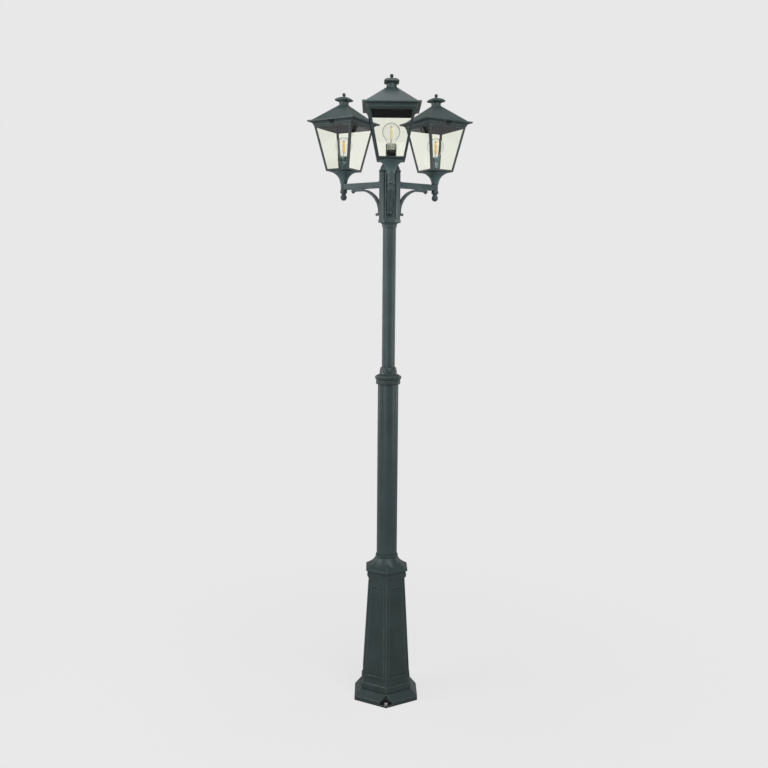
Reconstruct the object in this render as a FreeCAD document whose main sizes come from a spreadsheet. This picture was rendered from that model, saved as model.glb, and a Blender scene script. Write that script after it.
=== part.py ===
import FreeCAD, Part
import math
import os
import Sketcher

# Triple head lamp post, millimetres, +Z up.
# The origin is on the column's axis at the ground; the front lantern is towards -Y.
# Pieces of an arm or a lantern are drawn with +X pointing outwards, then turned to their arm.

ARM_DIRECTIONS = {"front": -90, "left": 150, "right": 30}
QUARTER_ROUND = math.tan(math.pi / 8)
SHALLOW = 0.2
FLARE_BOW = 0.12
BELL_BOW = 0.3
DOME_BOW = 0.3
BEAD_BOW = 0.3
HEX_CORNER = 2 / math.sqrt(3)
SQUARE_CORNER = math.sqrt(2)
BLANK_MARGIN = 1.1
CUT_MARGIN = 1.2
SLOT_OVERLAP = 1

SIZES = {
    # foot casting, widths across the flats
    "plinth_width": 235,
    "plinth_rim": 17,
    "plinth_height": 38,
    "plinth_shoulder_width": 188,
    "plinth_bore": 150,
    "anchor_outset": 0.5,
    "anchor_bolt_diameter": 10,
    "anchor_hole_clearance": 1,
    "anchor_lug_height": 6,
    "notch_inset": 11.5,
    "notch_spread": 95,
    # hexagonal pedestal
    "pedestal_height": 424,
    "pedestal_band_width": 184,
    "pedestal_band_height": 25,
    "pedestal_cove_width": 178,
    "pedestal_cove_height": 26,
    "pedestal_foot_width": 175.4,
    "pedestal_head_width": 133.4,
    "pedestal_wall": 5,
    "panel_depth": 3.5,
    "panel_border": 13,
    "panel_foot_gap": 8,
    "panel_head_gap": 32,
    # hexagonal cap of the pedestal
    "cap_ovolo_height": 12,
    "cap_neck_moulding": 26,
    "cap_moulding_width": 145.4,
    "cap_rim_width": 154,
    "cap_rim_height": 10,
    "cap_rim_round": 4,
    "cap_flare_height": 35,
    "cap_flare_foot_width": 142,
    "cap_flare_head_width": 86,
    "cap_hip_head_width": 70,
    "cap_collar_width": 83,
    "cap_collar_height": 12,
    "cap_collar_round": 2,
    "cap_spigot_length": 12,
    "cap_cable_hole": 58,
    # shafts and the collar between them
    "lower_shaft_diameter": 76,
    "lower_shaft_wall": 3,
    "lower_shaft_socket": 40,
    "lower_shaft_length": 641,
    "upper_shaft_diameter": 48,
    "upper_shaft_wall": 3,
    "upper_shaft_length": 509,
    "socket_clearance": 0.1,
    "collar_lower_bead": 14,
    "collar_upper_bead": 16,
    "collar_shelf": 8,
    "collar_neck_height": 24,
    "collar_lower_bead_width": 89,
    "collar_waist_width": 86,
    "collar_upper_bead_width": 94.5,
    "collar_neck_foot_width": 64,
    "collar_neck_head_width": 56,
    "collar_socket_depth": 30,
    "collar_cable_hole": 36,
    # head casting that carries the arms
    "head_neck_width": 53,
    "head_neck_height": 4,
    "head_cove_height": 12,
    "head_ring_width": 72,
    "head_ring_height": 11,
    "head_width": 70.6,
    "head_block_height": 171,
    "head_groove_width": 8,
    "head_groove_inset": 2,
    "head_flute_width": 36,
    "head_flute_depth": 3,
    "head_socket_depth": 36,
    "head_cap_lip": 4,
    "head_cap_lip_width": 81,
    "head_cap_height": 42,
    "head_cap_button": 14,
    "head_cap_button_rise": 3,
    # arms, brackets and their lower finials
    "arm_reach": 196,
    "arm_rise": 153,
    "arm_depth": 21,
    "arm_breadth": 18,
    "arm_flare": 12,
    "arm_boss_diameter": 22,
    "bracket_radius": 85,
    "bracket_run": 24,
    "bracket_thickness": 8,
    "bracket_breadth": 18,
    "bracket_curl": 6,
    "bracket_heel_curl": 10,
    "bracket_ball_diameter": 10.5,
    "drop_ring_diameter": 26,
    "drop_ring_height": 13,
    "drop_neck_diameter": 16.5,
    "drop_neck_height": 6,
    "drop_ball_diameter": 23.6,
    # trumpet casting under a lantern
    "bell_height": 46,
    "bell_neck_diameter": 27,
    "bell_neck_height": 4,
    "bell_mouth_diameter": 86,
    "bell_rim": 3,
    "bell_bore": 10,
    # lantern cage and glass
    "cage_foot_width": 95.5,
    "cage_head_width": 159,
    "cage_height": 160.5,
    "cage_sheet": 2.2,
    "cage_floor": 3,
    "cage_bar": 8.5,
    "cage_foot_rail": 6.5,
    "cage_head_rail": 6,
    "pane_thickness": 3,
    "pane_clearance": 0.3,
    # lamp holder and lamp
    "holder_diameter": 36,
    "holder_height": 50.5,
    "holder_socket_depth": 30,
    "lamp_cap_diameter": 26.4,
    "lamp_cap_clearance": 0.4,
    "lamp_globe_diameter": 60,
    "lamp_globe_rise": 70,
    "lamp_shoulder_diameter": 48,
    "lamp_neck_diameter": 27,
    "lamp_neck_foot": 1,
    "lamp_tip_diameter": 13.2,
    "lamp_tip_height": 5.3,
    # opening roof
    "roof_gap": 0.3,
    "roof_foot_width": 159.6,
    "roof_fillet_width": 164,
    "roof_fillet_height": 1.8,
    "roof_cove_width": 175,
    "roof_cove_height": 7.9,
    "roof_fascia_height": 3,
    "roof_eave_width": 195,
    "roof_eave_thickness": 5,
    "roof_slope_foot_width": 176,
    "roof_slope_head_width": 24.8,
    "roof_slope_height": 62,
    "roof_cavity_width": 154,
    "roof_sheet": 4,
    "roof_neck_diameter": 35,
    "roof_neck_wall": 3,
    "roof_neck_height": 12,
    # hinge and catch of the roof
    "hinge_inset": 1,
    "hinge_rise": 5.5,
    "hinge_pin_diameter": 3,
    "hinge_running_clearance": 0.05,
    "hinge_ear_radius": 3.3,
    "hinge_ear_thickness": 3.6,
    "hinge_lug_width": 6,
    "hinge_side_clearance": 1,
    "hinge_slot_height": 13,
    "catch_screw_diameter": 3.8,
    "catch_screw_length": 7,
    # vent cap and ball finial on the roof
    "vent_cap_width": 50.6,
    "vent_cap_foot_width": 40,
    "vent_cap_bevel": 4,
    "vent_cap_lip": 2,
    "vent_cap_dome": 10.9,
    "vent_cap_crown_width": 10,
    "vent_cap_spigot": 8,
    "vent_cap_spigot_clearance": 0.3,
    "finial_ball_diameter": 12.8,
    "finial_foot_width": 10,
    "finial_neck_diameter": 7,
    "finial_neck_height": 2.4,
    "finial_stud_diameter": 5,
    "finial_stud_length": 6,
}


class Size:
    """A number together with the sheet formula that gives it."""

    def __init__(self, value, formula):
        self.value = value
        self.formula = formula

    def join(self, other, sign, value):
        return Size(value, f"({self.formula} {sign} {formula_of(other)})")

    def __add__(self, other):
        return self.join(other, "+", self.value + value_of(other))

    def __sub__(self, other):
        return self.join(other, "-", self.value - value_of(other))

    def __mul__(self, other):
        return self.join(other, "*", self.value * value_of(other))

    def __truediv__(self, other):
        return self.join(other, "/", self.value / value_of(other))

    def __neg__(self):
        return Size(-self.value, f"(-1 * {self.formula})")


def value_of(size):
    return size.value if isinstance(size, Size) else float(size)


def formula_of(size):
    return size.formula if isinstance(size, Size) else repr(float(size))


def root(size):
    return Size(math.sqrt(size.value), f"sqrt({size.formula})")


def ball_rise(ball, neck):
    """Height of a ball's middle above the circle where a neck of that radius meets it."""
    return root(ball * ball - neck * neck)


def ball_bow(ball, neck):
    """Bow of the ball's arc between that circle and its middle."""
    return math.tan(math.acos(value_of(neck) / value_of(ball)) / 4)


def flute_radius_of(width, depth):
    """Radius of the hollow whose chord is a flute's width."""
    return (width * width / (depth * 4) + depth) / 2


def crown_bow(reach, rise):
    """Bow of a crown's arc that comes level at the piece's axis."""
    return math.tan(math.atan(value_of(rise) / value_of(reach)) / 2)


def make_sheet(doc):
    sheet = doc.addObject("Spreadsheet::Sheet", "Sizes")
    sizes = {}
    for row, (alias, value) in enumerate(SIZES.items(), start=1):
        sheet.set(f"A{row}", alias)
        sheet.set(f"B{row}", str(value))
        sheet.setAlias(f"B{row}", alias)
        sizes[alias] = Size(float(value), f"Sizes.{alias}")
    doc.recompute()
    return sizes


doc = FreeCAD.newDocument("TripleHeadLampPost")
SIZE = make_sheet(doc)
nodes = []


# ---- how a piece is begun, placed and shaped ----

def bind(thing, name, size):
    """Tie a property or a sketch dimension to the sheet; a plain number is set as it is."""
    if isinstance(size, Size):
        thing.setExpression(name, size.formula)
    else:
        thing.setExpression(name, formula_of(size))


def start_body(name):
    body = doc.addObject("PartDesign::Body", name)
    body.Label = name
    nodes.append(body)
    return body


def put(body, level, reach=0, direction=0, turn=0):
    """Stand a body at a height and a reach along its arm, turned to it or on from it."""
    angle = math.radians(direction)
    across = reach * math.cos(angle) if isinstance(reach, Size) else 0
    along = reach * math.sin(angle) if isinstance(reach, Size) else 0
    spot = FreeCAD.Vector(value_of(across), value_of(along), value_of(level))
    upright = FreeCAD.Vector(0, 0, 1)
    body.Placement = FreeCAD.Placement(spot, FreeCAD.Rotation(upright, direction + turn))
    bind(body, "Placement.Base.x", across)
    bind(body, "Placement.Base.y", along)
    bind(body, "Placement.Base.z", level)


def origin_part(body, role):
    return [item for item in body.Origin.OriginFeatures if item.Role == role][0]


def sketch_on(body, plane, offset=0):
    sketch = body.newObject("Sketcher::SketchObject", body.Name + "_sketch")
    sketch.AttachmentSupport = [(origin_part(body, plane), "")]
    sketch.MapMode = "FlatFace"
    bind(sketch, "AttachmentOffset.Base.z", offset)
    return sketch


def fix_point(sketch, edge, end, spot):
    """Dimension one end of an edge from the sketch's origin."""
    for kind, axis, size in (("DistanceX", -2, spot[0]), ("DistanceY", -1, spot[1])):
        if isinstance(size, Size):
            index = sketch.addConstraint(Sketcher.Constraint(kind, -1, 1, edge, end, size.value))
            bind(sketch, f"Constraints[{index}]", size)
        elif size == 0:
            sketch.addConstraint(Sketcher.Constraint("PointOnObject", edge, end, axis))
        else:
            sketch.addConstraint(Sketcher.Constraint(kind, -1, 1, edge, end, float(size)))


def arc_through(first, last, bow):
    """An arc that rises by bow times half its chord; positive bulges to the right of its way."""
    chord = last - first
    half = chord.Length / 2
    left = FreeCAD.Vector(-chord.y, chord.x, 0).normalize()
    radius = half * (1 + bow * bow) / (2 * abs(bow))
    rise = abs(bow) * half
    side = 1 if bow > 0 else -1
    centre = (first + last) / 2 + left * side * (radius - rise)
    ends = (first, last) if bow > 0 else (last, first)
    angles = [math.atan2(end.y - centre.y, end.x - centre.x) for end in ends]
    circle = Part.Circle(centre, FreeCAD.Vector(0, 0, 1), radius)
    return Part.ArcOfCircle(circle, angles[0], angles[1])


def outline(sketch, corners):
    """Closed outline through (across, up) corners; a third value bows the side that follows."""
    base = sketch.GeometryCount
    count = len(corners)
    spots = [FreeCAD.Vector(value_of(corner[0]), value_of(corner[1]), 0) for corner in corners]
    starts = []
    ends = []
    for index, corner in enumerate(corners):
        first = spots[index]
        last = spots[(index + 1) % count]
        bow = corner[2] if len(corner) > 2 else 0
        if bow == 0:
            sketch.addGeometry(Part.LineSegment(first, last), False)
        else:
            sketch.addGeometry(arc_through(first, last, bow), False)
        starts.append(2 if bow < 0 else 1)
        ends.append(1 if bow < 0 else 2)
    for index in range(count):
        after = (index + 1) % count
        joint = Sketcher.Constraint("Coincident", base + index, ends[index], base + after, starts[after])
        sketch.addConstraint(joint)
    for index, corner in enumerate(corners):
        fix_point(sketch, base + index, starts[index], corner)
        if len(corner) > 2:
            fix_radius(sketch, base + index, corner, corners[(index + 1) % count])


def fix_radius(sketch, edge, corner, after):
    """Tie an arc's radius to its chord, so that the arc keeps its form when its ends move."""
    bow = abs(corner[2])
    across = minus(after[0], corner[0])
    up = minus(after[1], corner[1])
    radius = root(across * across + up * up) * ((1 + bow * bow) / (4 * bow))
    index = sketch.addConstraint(Sketcher.Constraint("Radius", edge, radius.value))
    bind(sketch, f"Constraints[{index}]", radius)


def minus(after, before):
    if isinstance(after, Size):
        return after - before
    return Size(value_of(after), formula_of(after)) - before


def circle(sketch, across, up, diameter):
    centre = FreeCAD.Vector(value_of(across), value_of(up), 0)
    normal = FreeCAD.Vector(0, 0, 1)
    edge = sketch.addGeometry(Part.Circle(centre, normal, diameter.value / 2), False)
    fix_point(sketch, edge, 3, (across, up))
    index = sketch.addConstraint(Sketcher.Constraint("Diameter", edge, diameter.value))
    bind(sketch, f"Constraints[{index}]", diameter)


def rectangle(sketch, left, right, bottom, top):
    outline(sketch, [(left, bottom), (right, bottom), (right, top), (left, top)])


def square(sketch, width):
    half = width / 2
    rectangle(sketch, -half, half, -half, half)


def feature(body, kind, sketch=None):
    item = body.newObject("PartDesign::" + kind, f"{body.Name}_{kind}")
    if sketch is not None:
        item.Profile = sketch
    return item


def revolve(body, corners):
    sketch = sketch_on(body, "XZ_Plane")
    outline(sketch, corners)
    item = feature(body, "Revolution", sketch)
    item.ReferenceAxis = (sketch, ["V_Axis"])
    item.Angle = 360
    return item


def pad(body, sketch, length, both_ways=False):
    item = feature(body, "Pad", sketch)
    item.Midplane = both_ways
    bind(item, "Length", length)
    return item


def pocket(body, sketch, depth=None, both_ways=False, upwards=False):
    item = feature(body, "Pocket", sketch)
    item.Midplane = both_ways
    item.Reversed = upwards
    if depth is None:
        item.Type = "ThroughAll"
    else:
        bind(item, "Length", depth)
    return item


def pattern(body, items, count, angle=360):
    item = feature(body, "PolarPattern")
    item.Originals = items
    item.Axis = (origin_part(body, "Z_Axis"), [""])
    item.Angle = angle
    item.Occurrences = count
    body.Tip = item
    return item


def loft(body, kind, sections):
    """Loft between square or free sections, each a function that draws at its height."""
    sketches = []
    for height, draw in sections:
        sketch = sketch_on(body, "XY_Plane", height)
        draw(sketch)
        sketches.append(sketch)
    item = feature(body, kind, sketches[0])
    item.Sections = sketches[1:]
    item.Ruled = True
    return item


def solid(body, kind, rise=0, across=0, **sizes):
    """A primitive on the piece's axis, or beside it, with its base at a height."""
    item = feature(body, kind)
    for name, size in sizes.items():
        bind(item, name, size)
    bind(item, "Placement.Base.z", rise)
    bind(item, "Placement.Base.x", across)
    return item


def moulded_block(body, sides, side_profile):
    """A hexagonal or square block whose sides all follow one upright profile."""
    widest = side_profile[0][0]
    for corner in side_profile:
        widest = corner[0] if value_of(corner[0]) > value_of(widest) else widest
    foot = side_profile[0][1]
    head = side_profile[-1][1]
    corner_factor = HEX_CORNER if sides == 6 else SQUARE_CORNER
    blank = solid(body, "AdditivePrism", foot, Circumradius=widest * corner_factor * BLANK_MARGIN)
    blank.Polygon = sides
    bind(blank, "Height", minus(head, foot))
    blank.Placement.Rotation = FreeCAD.Rotation(FreeCAD.Vector(0, 0, 1), 180 / sides)
    sketch = sketch_on(body, "XZ_Plane")
    outside = widest * corner_factor * CUT_MARGIN
    outline(sketch, [(outside, foot), (outside, head)] + backwards(side_profile))
    side = pocket(body, sketch, both_ways=True)
    return pattern(body, [side], sides)


def backwards(profile):
    """The same profile from its head down, with every bow on the edge that it belongs to."""
    corners = []
    for index in range(len(profile) - 1, -1, -1):
        corner = profile[index]
        before = profile[index - 1] if index > 0 else (0, 0)
        bow = (-before[2],) if len(before) > 2 else ()
        corners.append((corner[0], corner[1]) + bow)
    return corners


# ---- heights at which the pieces meet ----

PEDESTAL_FOOT = SIZE["plinth_height"]
CAP_FOOT = PEDESTAL_FOOT + SIZE["pedestal_height"]
CAP_FLARE_FOOT = SIZE["cap_neck_moulding"] + SIZE["cap_rim_height"]
CAP_COLLAR_FOOT = CAP_FLARE_FOOT + SIZE["cap_flare_height"]
CAP_HEIGHT = CAP_COLLAR_FOOT + SIZE["cap_collar_height"]
CAP_HEAD = CAP_FOOT + CAP_HEIGHT
COLLAR_FOOT = CAP_HEAD + SIZE["lower_shaft_length"]
BEADS_HEIGHT = SIZE["collar_lower_bead"] + SIZE["collar_upper_bead"]
COLLAR_SHELF_HEAD = BEADS_HEIGHT + SIZE["collar_shelf"]
COLLAR_HEIGHT = COLLAR_SHELF_HEAD + SIZE["collar_neck_height"]
HEAD_FOOT = COLLAR_FOOT + COLLAR_HEIGHT + SIZE["upper_shaft_length"]
RING_FOOT = SIZE["head_neck_height"] + SIZE["head_cove_height"]
BLOCK_FOOT = RING_FOOT + SIZE["head_ring_height"]
BLOCK_HEAD = BLOCK_FOOT + SIZE["head_block_height"]
ARM_LEVEL = HEAD_FOOT + SIZE["arm_rise"]
ARM_TOP = ARM_LEVEL + SIZE["arm_depth"] / 2
ARM_BOTTOM = ARM_LEVEL - SIZE["arm_depth"] / 2
CAGE_FOOT = ARM_TOP + SIZE["bell_height"]
ROOF_FOOT = CAGE_FOOT + SIZE["cage_height"] + SIZE["roof_gap"]
FASCIA_FOOT = SIZE["roof_fillet_height"] + SIZE["roof_cove_height"]
EAVE_FOOT = FASCIA_FOOT + SIZE["roof_fascia_height"]
SLOPE_FOOT = EAVE_FOOT + SIZE["roof_eave_thickness"]
SLOPE_HEAD = SLOPE_FOOT + SIZE["roof_slope_height"]
NECK_HEAD = SLOPE_HEAD + SIZE["roof_neck_height"]
VENT_CAP_FOOT = ROOF_FOOT + NECK_HEAD
VENT_CAP_HEIGHT = SIZE["vent_cap_bevel"] + SIZE["vent_cap_lip"] + SIZE["vent_cap_dome"]
FINIAL_FOOT = VENT_CAP_FOOT + VENT_CAP_HEIGHT


# ---- column ----

def base_plinth():
    """Hexagonal foot with a sloped skirt and three notches for its anchor bolts."""
    body = start_body("base_plinth")
    height = SIZE["plinth_height"]
    half = SIZE["plinth_width"] / 2
    skirt = [(half, 0), (half, SIZE["plinth_rim"]), (SIZE["plinth_shoulder_width"] / 2, height)]
    moulded_block(body, 6, skirt)
    # the notches and their bolts keep their place on the foot's corners at any width
    inner = half - SIZE["notch_inset"]
    depth = half * HEX_CORNER - inner
    far = -(inner + depth * 2)
    spread = SIZE["notch_spread"]
    sketch = sketch_on(body, "XY_Plane", SIZE["anchor_lug_height"])
    outline(sketch, [(0, -inner), (-spread, far), (spread, far)])
    notch = pocket(body, sketch, upwards=True)
    holes = sketch_on(body, "XY_Plane")
    bolt_hole = SIZE["anchor_bolt_diameter"] + SIZE["anchor_hole_clearance"] * 2
    circle(holes, 0, -(half + SIZE["anchor_outset"]), bolt_hole)
    hole = pocket(body, holes, upwards=True)
    pattern(body, [notch, hole], 3)
    bore = SIZE["plinth_bore"] / 2
    solid(body, "SubtractiveCylinder", Radius=bore, Height=height)
    put(body, 0)


def panel_section(sketch, width, half_panel):
    """Section of a sunk panel: bevelled sides and a flat floor."""
    depth = SIZE["panel_depth"]
    floor = width / 2 - depth
    outside = width / 2 + depth
    narrow = half_panel - depth
    wide = half_panel + depth
    outline(sketch, [(floor, -narrow), (outside, -wide), (outside, wide), (floor, narrow)])


def base_pedestal():
    """Tapered hexagonal pedestal, hollow, with a sunk panel in each side."""
    body = start_body("base_pedestal")
    height = SIZE["pedestal_height"]
    band = SIZE["pedestal_band_height"]
    taper_foot = band + SIZE["pedestal_cove_height"]
    foot_width = SIZE["pedestal_foot_width"]
    head_width = SIZE["pedestal_head_width"]
    profile = [(SIZE["pedestal_band_width"] / 2, 0),
               (SIZE["pedestal_band_width"] / 2, band),
               (SIZE["pedestal_cove_width"] / 2, band, -SHALLOW),
               (foot_width / 2, taper_foot),
               (head_width / 2, height)]
    moulded_block(body, 6, profile)
    slope = (head_width - foot_width) / (height - taper_foot)
    sections = []
    for rise in (taper_foot + SIZE["panel_foot_gap"], height - SIZE["panel_head_gap"]):
        width = foot_width + (rise - taper_foot) * slope
        half_panel = width / 2 * (HEX_CORNER / 2) - SIZE["panel_border"]
        sections.append((rise, lambda sketch, w=width, p=half_panel: panel_section(sketch, w, p)))
    panel = loft(body, "SubtractiveLoft", sections)
    pattern(body, [panel], 6)
    skin = SIZE["panel_depth"] + SIZE["pedestal_wall"]
    solid(body, "SubtractiveCone", Radius1=foot_width / 2 - skin, Radius2=head_width / 2 - skin,
          Height=height)
    put(body, PEDESTAL_FOOT)


def base_cap():
    """Hexagonal cap that sweeps up to a round collar and holds the lower shaft."""
    body = start_body("base_cap")
    rim = SIZE["cap_rim_width"] / 2
    rim_round = SIZE["cap_rim_round"]
    moulding = SIZE["cap_neck_moulding"]
    moulded_block(body, 6, [
        (SIZE["pedestal_head_width"] / 2, 0, SHALLOW),
        (SIZE["cap_moulding_width"] / 2, SIZE["cap_ovolo_height"]),
        (SIZE["cap_moulding_width"] / 2 - rim_round / 2, moulding),
        (rim, moulding + rim_round / 2),
        (rim, CAP_FLARE_FOOT - rim_round, QUARTER_ROUND),
        (rim - rim_round, CAP_FLARE_FOOT, -FLARE_BOW),
        (SIZE["cap_hip_head_width"] / 2, CAP_COLLAR_FOOT)])
    flare = SIZE["cap_flare_foot_width"] / 2
    collar = SIZE["cap_collar_width"] / 2
    collar_round = SIZE["cap_collar_round"]
    revolve(body, [
        (0, moulding),
        (flare, moulding),
        (flare, CAP_FLARE_FOOT, -FLARE_BOW),
        (SIZE["cap_flare_head_width"] / 2, CAP_COLLAR_FOOT),
        (collar, CAP_COLLAR_FOOT),
        (collar, CAP_HEIGHT - collar_round, QUARTER_ROUND),
        (collar - collar_round, CAP_HEIGHT),
        (0, CAP_HEIGHT)])
    bore = SIZE["pedestal_head_width"] / 2 - SIZE["panel_depth"] - SIZE["pedestal_wall"]
    spigot = SIZE["cap_spigot_length"]
    solid(body, "AdditiveCylinder", -spigot, Radius=bore - SIZE["socket_clearance"], Height=spigot)
    solid(body, "SubtractiveCylinder", -spigot, Radius=SIZE["cap_cable_hole"] / 2,
          Height=CAP_HEIGHT + spigot)
    socket = SIZE["lower_shaft_diameter"] / 2 + SIZE["socket_clearance"]
    solid(body, "SubtractiveCylinder", CAP_HEIGHT - SIZE["lower_shaft_socket"], Radius=socket,
          Height=SIZE["lower_shaft_socket"])
    put(body, CAP_FOOT)


def shaft(name, diameter, wall, foot, head):
    body = start_body(name)
    length = head - foot
    solid(body, "AdditiveCylinder", Radius=diameter / 2, Height=length)
    solid(body, "SubtractiveCylinder", Radius=diameter / 2 - wall, Height=length)
    put(body, foot)


def shaft_collar():
    """Turned collar that steps from the lower shaft to the upper one."""
    body = start_body("shaft_collar")
    socket = SIZE["collar_socket_depth"]
    clearance = SIZE["socket_clearance"]
    lower = SIZE["lower_shaft_diameter"] / 2 + clearance
    upper = SIZE["upper_shaft_diameter"] / 2 + clearance
    cable = SIZE["collar_cable_hole"] / 2
    bead = SIZE["collar_lower_bead"]
    waist = SIZE["collar_waist_width"] / 2
    upper_bead = SIZE["collar_upper_bead_width"] / 2
    revolve(body, [
        (lower, 0),
        (waist, 0, BEAD_BOW),
        (SIZE["collar_lower_bead_width"] / 2, bead / 2, BEAD_BOW),
        (waist, bead),
        (upper_bead, bead + SIZE["collar_upper_bead"] / 3, SHALLOW),
        (upper_bead, BEADS_HEIGHT),
        (SIZE["collar_neck_foot_width"] / 2, COLLAR_SHELF_HEAD, SHALLOW / 2),
        (SIZE["collar_neck_head_width"] / 2, COLLAR_HEIGHT),
        (upper, COLLAR_HEIGHT),
        (upper, COLLAR_HEIGHT - SIZE["collar_neck_height"]),
        (cable, COLLAR_HEIGHT - SIZE["collar_neck_height"]),
        (cable, socket),
        (lower, socket)])
    put(body, COLLAR_FOOT)


def head_block():
    """Hexagonal block on a coved neck: grooved corners, a flute in each side without an arm."""
    body = start_body("head_block")
    half = SIZE["head_width"] / 2
    block = solid(body, "AdditivePrism", RING_FOOT, Circumradius=half * HEX_CORNER,
                  Height=BLOCK_HEAD - RING_FOOT)
    block.Polygon = 6
    revolve(body, [
        (0, 0),
        (SIZE["head_neck_width"] / 2, 0),
        (SIZE["head_neck_width"] / 2, SIZE["head_neck_height"], -QUARTER_ROUND),
        (SIZE["head_ring_width"] / 2, RING_FOOT),
        (SIZE["head_ring_width"] / 2, BLOCK_FOOT),
        (0, BLOCK_FOOT)])
    grooves = sketch_on(body, "XY_Plane", BLOCK_FOOT)
    circle(grooves, half * HEX_CORNER - SIZE["head_groove_inset"], 0, SIZE["head_groove_width"])
    groove = pocket(body, grooves, upwards=True)
    pattern(body, [groove], 6)
    flutes = sketch_on(body, "XY_Plane", BLOCK_FOOT)
    flute_radius = flute_radius_of(SIZE["head_flute_width"], SIZE["head_flute_depth"])
    circle(flutes, 0, half - SIZE["head_flute_depth"] + flute_radius, flute_radius * 2)
    flute = pocket(body, flutes, upwards=True)
    pattern(body, [flute], 3)
    socket = SIZE["upper_shaft_diameter"] / 2 + SIZE["socket_clearance"]
    solid(body, "SubtractiveCylinder", Radius=socket, Height=SIZE["head_socket_depth"])
    solid(body, "SubtractiveCylinder", Radius=SIZE["collar_cable_hole"] / 2, Height=BLOCK_HEAD)
    put(body, HEAD_FOOT)


def head_cap():
    """Domed cap on the head block."""
    body = start_body("head_cap")
    lip = SIZE["head_cap_lip"]
    height = SIZE["head_cap_height"]
    button = SIZE["head_cap_button"] / 2
    button_rise = SIZE["head_cap_button_rise"]
    edge = SIZE["head_cap_lip_width"] / 2
    revolve(body, [
        (0, 0),
        (edge - lip / 2, 0, QUARTER_ROUND),
        (edge, lip / 2, QUARTER_ROUND),
        (edge - lip / 2, lip),
        (edge - lip, lip, DOME_BOW),
        (button, height - button_rise, crown_bow(button, button_rise)),
        (0, height)])
    put(body, HEAD_FOOT + BLOCK_HEAD)


# ---- arms ----

def arm(name, direction):
    """Bar that flares at the head block and ends in a round boss under the lantern."""
    body = start_body(f"arm_{name}")
    depth = SIZE["arm_depth"] / 2
    flare = SIZE["arm_flare"]
    face = SIZE["head_width"] / 2
    reach = SIZE["arm_reach"]
    sketch = sketch_on(body, "XZ_Plane")
    outline(sketch, [
        (face, -(depth + flare), -QUARTER_ROUND),
        (face + flare, -depth),
        (reach, -depth),
        (reach, depth),
        (face + flare, depth, -QUARTER_ROUND),
        (face, depth + flare)])
    pad(body, sketch, SIZE["arm_breadth"], both_ways=True)
    solid(body, "AdditiveCylinder", -depth, reach, Radius=SIZE["arm_boss_diameter"] / 2,
          Height=SIZE["arm_depth"])
    put(body, ARM_LEVEL, 0, direction)


def bracket(name, direction):
    """Quarter-round flat bar under an arm, with a curl and a ball at each end."""
    body = start_body(f"bracket_{name}")
    half = SIZE["bracket_thickness"] / 2
    curl = SIZE["bracket_curl"]
    heel_curl = SIZE["bracket_heel_curl"]
    radius = SIZE["bracket_radius"]
    wall = SIZE["head_width"] / 2 + half
    crown = -half
    bend = wall + radius
    tip = bend + SIZE["bracket_run"]
    heel = crown - radius
    sketch = sketch_on(body, "XZ_Plane")
    outline(sketch, [
        (tip + curl + half, crown - curl, QUARTER_ROUND),
        (tip, crown + half),
        (bend, crown + half, QUARTER_ROUND),
        (wall - half, heel, QUARTER_ROUND),
        (wall + heel_curl, heel - curl - half),
        (wall + heel_curl, heel - curl + half, -QUARTER_ROUND),
        (wall + half, heel, -QUARTER_ROUND),
        (bend, crown - half),
        (tip, crown - half, -QUARTER_ROUND),
        (tip + curl - half, crown - curl)])
    pad(body, sketch, SIZE["bracket_breadth"], both_ways=True)
    ball = SIZE["bracket_ball_diameter"] / 2
    solid(body, "AdditiveSphere", crown - curl, tip + curl, Radius=ball)
    solid(body, "AdditiveSphere", heel - curl, wall + heel_curl + half, Radius=ball)
    put(body, ARM_BOTTOM, 0, direction)


def drop_finial(name, direction):
    """Turned ring, neck and ball under the end of an arm."""
    body = start_body(f"drop_finial_{name}")
    ring = SIZE["drop_ring_diameter"] / 2
    neck = SIZE["drop_neck_diameter"] / 2
    ball = SIZE["drop_ball_diameter"] / 2
    ring_foot = -SIZE["drop_ring_height"]
    neck_foot = ring_foot - SIZE["drop_neck_height"]
    middle = neck_foot - ball_rise(ball, neck)
    belly = ring_foot / 2
    revolve(body, [
        (0, middle - ball, QUARTER_ROUND),
        (ball, middle, ball_bow(ball, neck)),
        (neck, neck_foot),
        (neck, ring_foot),
        (ring + belly / 2, ring_foot, QUARTER_ROUND),
        (ring, belly, SHALLOW),
        (SIZE["arm_boss_diameter"] / 2, 0),
        (0, 0)])
    put(body, ARM_BOTTOM, SIZE["arm_reach"], direction)


# ---- lanterns ----

def bell(name, direction):
    """Trumpet casting between the arm and the lantern's floor, bored for the cable."""
    body = start_body(f"bell_{name}")
    bore = SIZE["bell_bore"] / 2
    foot = SIZE["arm_boss_diameter"] / 2
    neck = SIZE["bell_neck_height"]
    mouth = SIZE["bell_mouth_diameter"] / 2
    height = SIZE["bell_height"]
    revolve(body, [
        (bore, 0),
        (foot, 0),
        (SIZE["bell_neck_diameter"] / 2, neck, -BELL_BOW),
        (mouth, height - SIZE["bell_rim"]),
        (mouth, height),
        (bore, height)])
    put(body, ARM_TOP, SIZE["arm_reach"], direction)


def cage_width_at(rise):
    """Outer width of the tapered cage at a height."""
    foot = SIZE["cage_foot_width"]
    return foot + (SIZE["cage_head_width"] - foot) / SIZE["cage_height"] * rise


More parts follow.
